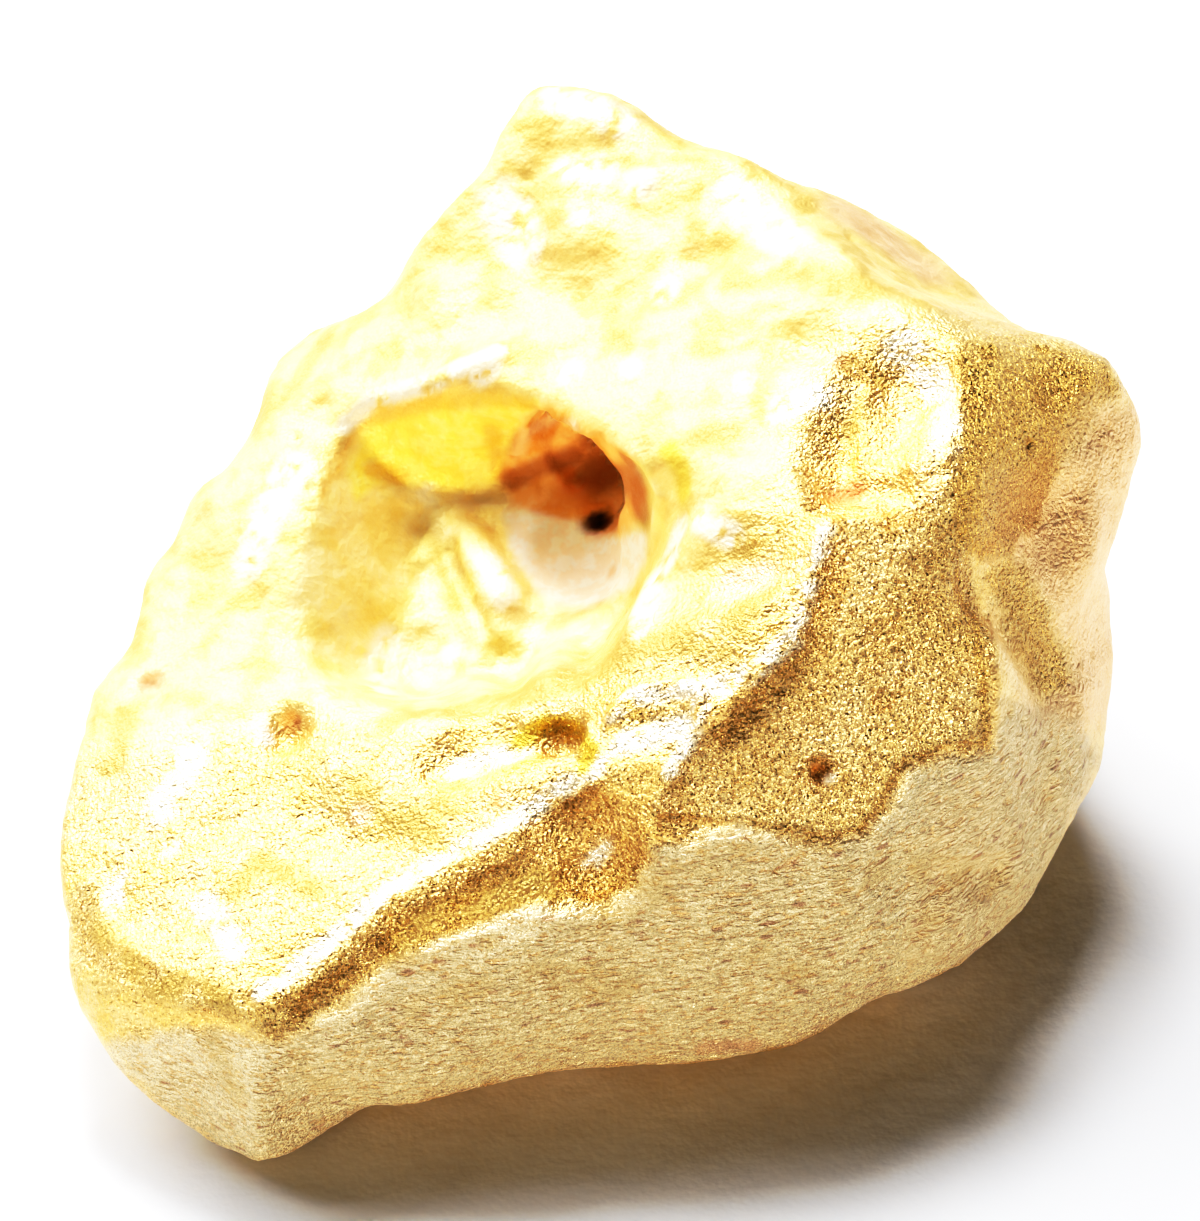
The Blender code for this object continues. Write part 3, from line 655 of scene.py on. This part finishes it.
# Colours of the gold and of its stains, and of painted light and shade, as red, green and blue light.
COLOURS = {
    "gold": (0.94, 0.61, 0.21),
    "pale gold": (0.97, 0.68, 0.30),
    "orange gold": (0.90, 0.52, 0.14),
    "sandy gold": (0.94, 0.68, 0.31),
    "cream": (1.0, 0.73, 0.28),
    "honey": (0.74, 0.50, 0.16),
    "line": (0.74, 0.45, 0.15),
    # A deeper gold, partly painted shade.
    "deep gold and shade": (0.74, 0.46, 0.14),
    # Partly the front's own matte tan, partly painted light: a paler colour that brightens the dimly lit
    # front.
    "front": (1.0, 0.86, 0.55),
    # Painted reflection of the white paper on the right side.
    "pale side painted reflection": (1.0, 0.80, 0.48),
    # Painted shade: the colours that the low parts of the grain and of the front's wrinkles darken to.
    "crevice shade": (0.46, 0.27, 0.08),
    "front crevice": (0.78, 0.52, 0.24),
    "fleck": (0.50, 0.29, 0.17),
    # Painted bounce light: a paler gold over the pit and a bright yellow on its far wall, for the light
    # thrown about inside it.
    "pit bounce light low": (0.96, 0.74, 0.27),
    "pit bounce light high": (1.0, 0.82, 0.42),
    "yellow bounce light low": (1.0, 0.82, 0.18),
    "yellow bounce light high": (1.0, 0.88, 0.32),
    # Tan, partly painted shade.
    "tan": (0.60, 0.40, 0.13),
    # Amber, mostly painted shade.
    "amber_and_shade": (0.84, 0.47, 0.07),
    # Partly rubbed bright wear, partly painted highlights.
    "worn": (1.0, 0.90, 0.68),
    "pink low": (1.0, 0.82, 0.60),
    "pink high": (1.0, 0.92, 0.74),
    "brown low": (0.78, 0.32, 0.05),
    "brown high": (0.98, 0.52, 0.16),
    # Dark brown, partly painted shade.
    "umber_and_shade": (0.34, 0.11, 0.02),
    "peach": (0.88, 0.57, 0.33),
    "yellow": (0.80, 0.54, 0.09),
    "red": (0.86, 0.36, 0.12),
    # Painted shade in the hole.
    "hole_shade": (0.12, 0.06, 0.04),
}

# Millimetres from one fine line along the crest to the next.
CREST_LINE_SPACING = 0.16

# The marks that the surface keeps for its material.
MARKS = (
    "rough", "soft", "from_crest", "lined", "deep_gold_and_shade", "pit", "pit_yellow_bounce_light", "worn", "front", "pale", "tan",
    *STAINS,
)


class Nodes:
    """Short calls that build a material's node tree."""

    def __init__(self, material):
        material.use_nodes = True
        self.tree = material.node_tree
        self.shader = self.tree.nodes["Principled BSDF"]

    def make(self, kind, links=None, **values):
        made = self.tree.nodes.new(kind)
        for name, value in values.items():
            setattr(made, name, value)
        for socket, source in (links or {}).items():
            target = made.inputs[socket]
            if isinstance(source, bpy.types.NodeSocket):
                self.tree.links.new(source, target)
            else:
                target.default_value = source
        return made

    def attribute(self, name):
        return self.make("ShaderNodeAttribute", attribute_name=name).outputs["Fac"]

    def maths(self, operation, *sources, clamp=False):
        links = dict(enumerate(sources))
        return self.make("ShaderNodeMath", links, operation=operation, use_clamp=clamp).outputs[0]

    def plus(self, first, second):
        return self.maths("ADD", first, second)

    def minus(self, first, second, clamp=False):
        return self.maths("SUBTRACT", first, second, clamp=clamp)

    def times(self, first, second):
        return self.maths("MULTIPLY", first, second)

    def noise(self, place, scale, detail, roughness=0.55, distortion=0.0):
        links = {"Vector": place, "Scale": scale, "Detail": detail, "Roughness": roughness}
        links["Distortion"] = distortion
        return self.make("ShaderNodeTexNoise", links).outputs["Fac"]

    def cells(self, place, scale):
        return self.make("ShaderNodeTexVoronoi", {"Vector": place, "Scale": scale}).outputs["Distance"]

    def spread(self, source, low, high, to_low=0.0, to_high=1.0):
        links = {"Value": source, "From Min": low, "From Max": high, "To Min": to_low, "To Max": to_high}
        return self.make("ShaderNodeMapRange", links, interpolation_type="SMOOTHSTEP").outputs["Result"]

    def mix(self, share, first, second):
        """Mixes two colours, each a socket or the name of one of COLOURS."""
        ends = [(*COLOURS[end], 1) if isinstance(end, str) else end for end in (first, second)]
        links = {"Factor": share, 6: ends[0], 7: ends[1]}
        return self.make("ShaderNodeMix", links, data_type="RGBA").outputs[2]

    def link(self, source, socket):
        self.tree.links.new(source, self.shader.inputs[socket])

    def bump(self, height, strength, distance):
        links = {"Height": height, "Strength": strength, "Distance": distance}
        self.link(self.make("ShaderNodeBump", links).outputs["Normal"], "Normal")


def gold_patterns(nodes):
    """The noises that vary the gold all over its surface. A scale is the number of swells in a millimetre."""
    coordinates = nodes.make("ShaderNodeTexCoord").outputs["Object"]
    scaled = nodes.make("ShaderNodeVectorMath", {0: coordinates, "Scale": 1 / MM}, operation="SCALE")
    place = scaled.outputs[0]
    flat = nodes.make("ShaderNodeMapping", {"Vector": place, "Scale": (3.9, 3.9, 11.0)}).outputs[0]
    return {
        "broad": nodes.noise(place, 0.9, 2.0),
        "lumps": nodes.noise(place, 1.1, 2.0, 0.5),
        "middle": nodes.noise(place, 3.0, 2.0),
        "grain": nodes.noise(place, 9.5, 2.0, 0.62, 1.0),
        "fine": nodes.noise(place, 22.0, 1.0, 0.6),
        "cells": nodes.cells(place, 11.5),
        "wrinkles": nodes.noise(flat, 1.0, 2.0, 0.6, 1.2),
        "flecks": nodes.spread(nodes.cells(flat, 0.34), 0.30, 0.16),
    }


def crest_lines(nodes, marks, patterns):
    """Fine wavy lines that run along the crest."""
    bent = nodes.plus(marks["from_crest"], nodes.times(patterns["middle"], 0.5))
    lines = nodes.maths("SINE", nodes.times(bent, 2 * math.pi / CREST_LINE_SPACING))
    lines = nodes.times(nodes.spread(lines, 0.2, 1.0), marks["lined"])
    return nodes.times(lines, nodes.spread(patterns["broad"], 0.42, 0.58))


def crevice_shade(nodes, marks, patterns):
    """Painted shade: where the sandy grain lies low, the colour darkens."""
    low = nodes.minus(patterns["grain"], nodes.times(patterns["cells"], 0.22))
    low = nodes.times(nodes.spread(low, 0.44, 0.26), nodes.spread(marks["rough"], 0.0, 1.0, 0.25, 0.78))
    sharp = nodes.minus(1.0, marks["soft"])
    low = nodes.times(low, nodes.minus(sharp, marks["pit"], clamp=True))
    return nodes.times(low, nodes.spread(marks["front"], 0.0, 1.0, 1.0, 0.1))


def gold_colour(nodes, marks, patterns, brown):
    """The metal's colour, from pale worn places and painted highlights to deep golden ones and painted shade,
    with its stains over it and painted light in the pit.
    """
    lumps, middle, front, soft = patterns["lumps"], patterns["middle"], marks["front"], marks["soft"]
    flecks = nodes.times(patterns["flecks"], nodes.spread(middle, 0.42, 0.58))
    colour = nodes.mix(nodes.spread(patterns["broad"], 0.35, 0.65), "gold", "pale gold")
    layers = [
        (nodes.spread(middle, 0.50, 0.72, 0.0, 0.6), "orange gold"),
        (nodes.times(marks["rough"], 0.7), "sandy gold"),
        (nodes.times(nodes.spread(lumps, 0.40, 0.60), soft), "cream"),
        (nodes.times(nodes.spread(lumps, 0.54, 0.34), soft), "honey"),
        (nodes.times(crest_lines(nodes, marks, patterns), 0.7), "line"),
        # Deeper gold, partly painted shade on the knob, the valley, the band and some edges.
        (marks["deep_gold_and_shade"], "deep gold and shade"),
        # Partly the front's own matte tan, partly painted light: a paler colour that brightens the dimly lit
        # front.
        (nodes.times(front, 0.9), "front"),
        # Painted reflection of the white paper on the right side.
        (nodes.times(marks["pale"], 0.6), "pale side painted reflection"),
        # Painted shade in the low parts of the grain and of the front's wrinkles.
        (crevice_shade(nodes, marks, patterns), "crevice shade"),
        (nodes.times(nodes.spread(patterns["wrinkles"], 0.48, 0.36, 0.0, 0.90), front), "front crevice"),
        (nodes.times(flecks, nodes.times(front, 0.75)), "fleck"),
        # Painted bounce light inside the pit, and a bright yellow on its far wall.
        (nodes.times(marks["pit"], 0.85), nodes.mix(nodes.spread(lumps, 0.38, 0.62), "pit bounce light low", "pit bounce light high")),
        (marks["pit_yellow_bounce_light"], nodes.mix(nodes.spread(middle, 0.35, 0.65), "yellow bounce light low", "yellow bounce light high")),
        # Tan, partly painted shade.
        (marks["tan"], "tan"),
        # Amber, mostly painted shade.
        (nodes.times(marks["amber_and_shade"], 0.7), "amber_and_shade"),
        # Partly rubbed bright wear, partly painted highlights.
        (marks["worn"], "worn"),
        (marks["pink"], nodes.mix(nodes.spread(middle, 0.4, 0.6), "pink low", "pink high")),
        (brown, nodes.mix(nodes.spread(lumps, 0.40, 0.60), "brown low", "brown high")),
        # Dark brown, partly painted shade.
        (nodes.times(marks["umber_and_shade"], 0.75), "umber_and_shade"),
        (nodes.times(marks["peach"], 0.8), "peach"),
        (marks["yellow"], "yellow"),
        (marks["red"], "red"),
        # Painted shade in the hole.
        (marks["hole_shade"], "hole_shade"),
    ]
    for share, over in layers:
        colour = nodes.mix(share, colour, over)
    return colour


def gold_height(nodes, marks, patterns):
    """Heights in millimetres: soft waves, sand-like grains on the rough areas, and wrinkles on the front."""
    soft = marks["soft"]
    waves = nodes.times(patterns["middle"], nodes.spread(soft, 0.0, 1.0, 0.08, 0.05))
    grains = nodes.minus(nodes.times(patterns["grain"], 0.16), nodes.times(patterns["cells"], 0.08))
    share = nodes.spread(marks["rough"], 0.0, 1.0, 0.3, 1.0)
    share = nodes.times(share, nodes.spread(soft, 0.0, 1.0, 1.0, 0.1))
    share = nodes.times(share, nodes.spread(marks["pit"], 0.0, 1.0, 1.0, 0.1))
    grains = nodes.times(grains, share)
    folds = nodes.times(patterns["wrinkles"], nodes.times(marks["front"], 0.19))
    dust = nodes.times(patterns["fine"], nodes.spread(soft, 0.0, 1.0, 0.02, 0.004))
    return nodes.plus(nodes.plus(waves, grains), nodes.plus(folds, dust))


def gold_material():
    material = bpy.data.materials.new("native_gold_surface")
    nodes = Nodes(material)
    patterns = gold_patterns(nodes)
    marks = {name: nodes.attribute(name) for name in MARKS}
    brown = nodes.times(marks["brown"], nodes.spread(patterns["middle"], 0.25, 0.5, 0.7, 1.0))
    nodes.link(gold_colour(nodes, marks, patterns, brown), "Base Color")

    # Stains and the painted shade in the hole make the surface less metallic and rougher.
    stain_and_shade = brown
    for name in ("pink", "red", "hole_shade"):
        stain_and_shade = nodes.maths("MAXIMUM", stain_and_shade, marks[name])
    metal = nodes.minus(1.0, nodes.times(stain_and_shade, 0.75))
    metal = nodes.minus(metal, nodes.times(marks["soft"], 0.35))
    metal = nodes.minus(metal, nodes.times(marks["front"], 0.62))
    metal = nodes.minus(metal, nodes.times(marks["pit"], 0.15), clamp=True)
    nodes.link(metal, "Metallic")

    roughness = nodes.spread(patterns["fine"], 0.3, 0.7, 0.24, 0.42)
    roughness = nodes.plus(roughness, nodes.times(stain_and_shade, 0.25))
    for name, more in (("pale", 0.15), ("tan", 0.15), ("rough", -0.06), ("soft", 0.28), ("front", -0.05)):
        roughness = nodes.plus(roughness, nodes.times(marks[name], more))
    nodes.link(roughness, "Roughness")
    nodes.bump(gold_height(nodes, marks, patterns), 1.0, MM)
    return material


# The paper, in metres: half its width, and the ring over which it begins to glow like a lit backdrop.
PAPER_HALF = 1.5
PAPER_GLOW = (0.12, 0.60)
PAPER_GLOW_STRENGTH = 1.5
# Its fibres: how many in a metre, and how high they stand.
FIBRES_PER_METRE = 900.0
FIBRE_HEIGHT = 0.0002


def paper():
    """The white paper that the nugget stands on."""
    mesh = bpy.data.meshes.new("paper")
    half = PAPER_HALF
    corners = [(-half, -half, 0), (half, -half, 0), (half, half, 0), (-half, half, 0)]
    mesh.from_pydata(corners, [], [(0, 1, 2, 3)])
    thing = bpy.data.objects.new("paper", mesh)
    bpy.context.scene.collection.objects.link(thing)
    material = bpy.data.materials.new("white_paper")
    nodes = Nodes(material)
    nodes.shader.inputs["Base Color"].default_value = (0.86, 0.89, 0.95, 1)
    nodes.shader.inputs["Roughness"].default_value = 0.9
    nodes.shader.inputs["Specular IOR Level"].default_value = 0.1
    coordinates = nodes.make("ShaderNodeTexCoord").outputs["Object"]
    away = nodes.make("ShaderNodeVectorMath", {0: coordinates}, operation="LENGTH").outputs["Value"]
    nodes.shader.inputs["Emission Color"].default_value = (0.97, 0.98, 1.0, 1)
    nodes.link(nodes.spread(away, *PAPER_GLOW, 0.0, PAPER_GLOW_STRENGTH), "Emission Strength")
    nodes.bump(nodes.noise(coordinates, FIBRES_PER_METRE, 4.0), 0.25, FIBRE_HEIGHT)
    mesh.materials.append(material)
    return thing


# The round lights: direction from the nugget, distance and width in metres, watts and colour. The two low,
# warm ones light the front and the right side, as light thrown back by a table does.
LIGHTS = {
    "key": ((-0.05, 0.53, 1.0), 0.40, 0.13, 1.6, (1.0, 1.0, 1.0)),
    "ceiling": ((-0.10, 0.42, 1.0), 0.50, 0.40, 0.3, (1.0, 1.0, 1.0)),
    "window": ((-0.58, 0.60, 0.75), 0.40, 0.44, 3.2, (1.0, 1.0, 1.0)),
    "front_low": ((-0.1, -1.0, 0.055), 0.50, 0.05, 1.66, (1.0, 0.77, 0.50)),
    "right_low": ((1.0, -0.45, 0.08), 0.50, 0.07, 0.30, (1.0, 0.76, 0.50)),
}
ROOM_COLOUR = (1.0, 0.75, 0.46, 1)
ROOM_STRENGTH = 0.006


def light_room():
    for name, (direction, distance, width, power, colour) in LIGHTS.items():
        light = bpy.data.lights.new(name, "AREA")
        light.shape = "DISK"
        light.size = width
        light.energy = power
        light.color = colour
        thing = bpy.data.objects.new(name, light)
        towards = Vector(direction).normalized()
        thing.location = towards * distance
        thing.rotation_mode = "QUATERNION"
        thing.rotation_quaternion = towards.to_track_quat("Z", "Y")
        bpy.context.scene.collection.objects.link(thing)
    world = bpy.data.worlds.new("room")
    bpy.context.scene.world = world
    world.use_nodes = True
    background = world.node_tree.nodes["Background"]
    background.inputs["Color"].default_value = ROOM_COLOUR
    background.inputs["Strength"].default_value = ROOM_STRENGTH


def place_camera():
    data = bpy.data.cameras.new("camera")
    data.sensor_width = 36
    distance = (EYE - DRAWING_MIDDLE).length
    data.lens = PIXELS_PER_MM * data.sensor_width * distance / PICTURE_HEIGHT
    data.clip_start = 0.01
    camera = bpy.data.objects.new("camera", data)
    camera.location = EYE * MM
    camera.rotation_mode = "QUATERNION"
    camera.rotation_quaternion = (EYE - DRAWING_MIDDLE).to_track_quat("Z", "Y")
    bpy.context.scene.collection.objects.link(camera)
    bpy.context.scene.camera = camera


# The picture's tones: how bright each level of light shows, and the level that shows as white.
TONES = ((0.04, 0.02), (0.15, 0.125), (0.4, 0.55), (0.7, 0.87))
WHITE_LEVEL = 1.4


def set_tones():
    """A camera's usual tones: deeper shadows, and highlights that run into white late."""
    view = bpy.context.scene.view_settings
    view.view_transform = "Standard"
    view.use_curve_mapping = True
    view.curve_mapping.white_level = (WHITE_LEVEL, WHITE_LEVEL, WHITE_LEVEL)
    curve = view.curve_mapping.curves[3]
    for level, shown in TONES:
        curve.points.new(level, shown)
    view.curve_mapping.update()


nugget = start_surface(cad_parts["gold_nugget"])
surface = Surface(nugget)
shape_surface(surface)
mark_surface(surface)
nugget.data.transform(Matrix.Scale(MM, 4))
nugget.data.materials.clear()
nugget.data.materials.append(gold_material())
nugget.data.shade_smooth()

floor = paper()
light_room()
place_camera()
set_tones()

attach(nugget, "root")
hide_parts("gold_nugget")
